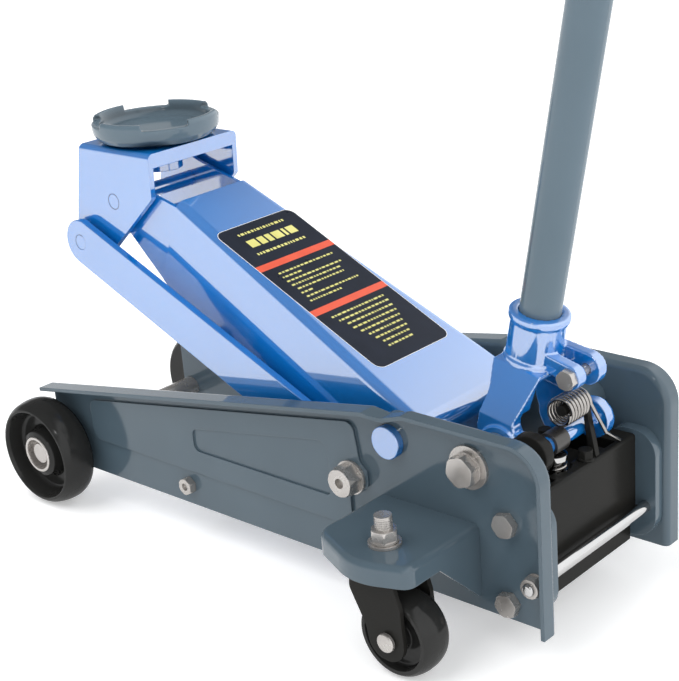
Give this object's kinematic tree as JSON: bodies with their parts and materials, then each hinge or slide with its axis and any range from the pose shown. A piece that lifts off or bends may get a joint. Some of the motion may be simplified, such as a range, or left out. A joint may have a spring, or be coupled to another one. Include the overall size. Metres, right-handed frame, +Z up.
{
  "type": "trolley jack",
  "caption": "Hydraulic trolley jack with a sloping pressed-steel chassis, blue parallelogram lift arm, round dished saddle, swivelling rear casters and a long pump handle.",
  "frame": {"origin": "middle of the whole jack's bounding box, on the floor", "axes": "+Z up, +X towards the handle end, saddle at the -X end; the jack's left side is -Y"},
  "size_m": [0.8631, 0.4128, 1.2249],
  "materials": {
    "frame_paint": "semi-gloss",
    "blue_paint": "gloss",
    "black_paint": "satin",
    "wheel_iron": "satin",
    "zinc_steel": "satin",
    "bright_chrome": "polished",
    "spring_steel": "satin",
    "grip_rubber": "matte"
  },
  "bodies": {
    "chassis": {"side_plate_left": "frame_paint", "side_plate_right": "frame_paint", "caster_bracket_left": "frame_paint", "caster_bracket_right": "frame_paint", "block_pads": "frame_paint", "front_axle": "bright_chrome", "front_cross_bar": "frame_paint", "cross_bar_bolts": "zinc_steel", "rear_tie_rod": "bright_chrome", "tie_rod_nuts": "zinc_steel", "link_bolts": "zinc_steel", "pivot_spacers": "frame_paint", "socket_pivot_bolts": "zinc_steel", "socket_pivot_washers": "zinc_steel", "block_bolts": "zinc_steel", "pump_block": "black_paint", "cylinder_tube": "black_paint", "cylinder_gland": "zinc_steel", "oil_plugs": "black_paint", "spring_stand": "black_paint", "torsion_spring": "spring_steel", "caster_studs": "zinc_steel", "caster_nuts": "zinc_steel", "caster_washers": "zinc_steel"},
    "arm": {"lift_arm": "blue_paint", "arm_shaft": "blue_paint", "ram_pin": "zinc_steel"},
    "head": {"saddle_bracket": "blue_paint", "head_pin": "blue_paint", "link_head_pin": "blue_paint", "link_head_washers": "zinc_steel"},
    "saddle": {"saddle": "frame_paint"},
    "link_left": {"saddle_link_left": "blue_paint"},
    "link_right": {"saddle_link_right": "blue_paint"},
    "ram": {"ram_rod": "bright_chrome", "ram_yoke": "zinc_steel"},
    "socket": {"handle_socket": "blue_paint", "socket_yoke": "blue_paint", "clamp_bolt": "zinc_steel"},
    "roller": {"pump_roller": "zinc_steel"},
    "handle": {"handle_lower": "frame_paint", "handle_upper": "frame_paint", "handle_button": "zinc_steel", "handle_grip": "grip_rubber", "handle_cap": "grip_rubber", "release_rod": "zinc_steel"},
    "plunger": {"pump_plunger": "bright_chrome", "pump_spring": "spring_steel"},
    "valve": {"valve_spindle": "zinc_steel"},
    "front_wheel_left": {"front_wheel_left": "wheel_iron", "front_wheel_bush_left": "zinc_steel"},
    "front_wheel_right": {"front_wheel_right": "wheel_iron", "front_wheel_bush_right": "zinc_steel"},
    "caster_left": {"caster_fork_left": "black_paint", "caster_axle_left": "zinc_steel"},
    "caster_right": {"caster_fork_right": "black_paint", "caster_axle_right": "zinc_steel"},
    "caster_wheel_left": {"caster_wheel_left": "wheel_iron"},
    "caster_wheel_right": {"caster_wheel_right": "wheel_iron"}
  },
  "joints": [
    {"name": "arm_lift", "type": "hinge", "parent": "chassis", "child": "arm", "pos_m": [0.1145, 0, 0.179], "axis": [0, 1, 0], "range_deg": [-27, 8]},
    {"name": "head_level", "type": "hinge", "parent": "arm", "child": "head", "pos_m": [-0.27722, 0, 0.34126], "axis": [0, 1, 0], "range_deg": [-8, 27]},
    {"name": "saddle_turn", "type": "hinge", "parent": "head", "child": "saddle", "pos_m": [-0.268, 0, 0.4], "axis": [0, 0, 1], "continuous": true},
    {"name": "link_left_swing", "type": "hinge", "parent": "chassis", "child": "link_left", "pos_m": [0.0665, -0.082, 0.1315], "axis": [0, 1, 0], "range_deg": [-27, 8]},
    {"name": "link_right_swing", "type": "hinge", "parent": "chassis", "child": "link_right", "pos_m": [0.0665, 0.082, 0.1315], "axis": [0, 1, 0], "range_deg": [-27, 8]},
    {"name": "ram_stroke", "type": "slide", "parent": "chassis", "child": "ram", "axis": [-1, 0, 0], "range_m": [-0.045, 0.0135]},
    {"name": "handle_swing", "type": "hinge", "parent": "chassis", "child": "socket", "pos_m": [0.2055, 0, 0.1765], "axis": [0, 1, 0], "range_deg": [-4, 45]},
    {"name": "handle_twist", "type": "hinge", "parent": "socket", "child": "handle", "pos_m": [0.25412, 0, 0.47282], "axis": [0.2045, 0, 0.9789], "range_deg": [0, 100]},
    {"name": "roller_spin", "type": "hinge", "parent": "socket", "child": "roller", "pos_m": [0.23848, 0, 0.17765], "axis": [0, 1, 0], "continuous": true},
    {"name": "plunger_stroke", "type": "slide", "parent": "chassis", "child": "plunger", "axis": [0, 0, -1], "range_m": [-0.0025, 0.0262], "deforming": ["pump_spring"]},
    {"name": "valve_turn", "type": "hinge", "parent": "chassis", "child": "valve", "pos_m": [0.1925, 0, 0.15], "axis": [0, 0, 1], "range_deg": [0, 100]},
    {"name": "front_wheel_left_roll", "type": "hinge", "parent": "chassis", "child": "front_wheel_left", "pos_m": [-0.3715, -0.124, 0.06], "axis": [0, 1, 0], "continuous": true},
    {"name": "caster_left_swivel", "type": "hinge", "parent": "chassis", "child": "caster_left", "pos_m": [0.1655, -0.168, 0.11], "axis": [0, 0, 1], "continuous": true},
    {"name": "caster_left_roll", "type": "hinge", "parent": "caster_left", "child": "caster_wheel_left", "pos_m": [0.1815, -0.168, 0.041], "axis": [0, 1, 0], "continuous": true},
    {"name": "front_wheel_right_roll", "type": "hinge", "parent": "chassis", "child": "front_wheel_right", "pos_m": [-0.3715, 0.124, 0.06], "axis": [0, 1, 0], "continuous": true},
    {"name": "caster_right_swivel", "type": "hinge", "parent": "chassis", "child": "caster_right", "pos_m": [0.1655, 0.168, 0.11], "axis": [0, 0, 1], "continuous": true},
    {"name": "caster_right_roll", "type": "hinge", "parent": "caster_right", "child": "caster_wheel_right", "pos_m": [0.1815, 0.168, 0.041], "axis": [0, 1, 0], "continuous": true}
  ],
  "couplings": [
    {"joint": "head_level", "follows": "arm_lift", "ratio": -1},
    {"joint": "link_left_swing", "follows": "arm_lift", "ratio": 1},
    {"joint": "link_right_swing", "follows": "arm_lift", "ratio": 1},
    {"joint": "ram_stroke", "follows": "arm_lift", "m_per_rad": 0.0915},
    {"joint": "plunger_stroke", "follows": "handle_swing", "m_per_rad": 0.0328},
    {"joint": "valve_turn", "follows": "handle_twist", "ratio": 1}
  ]
}
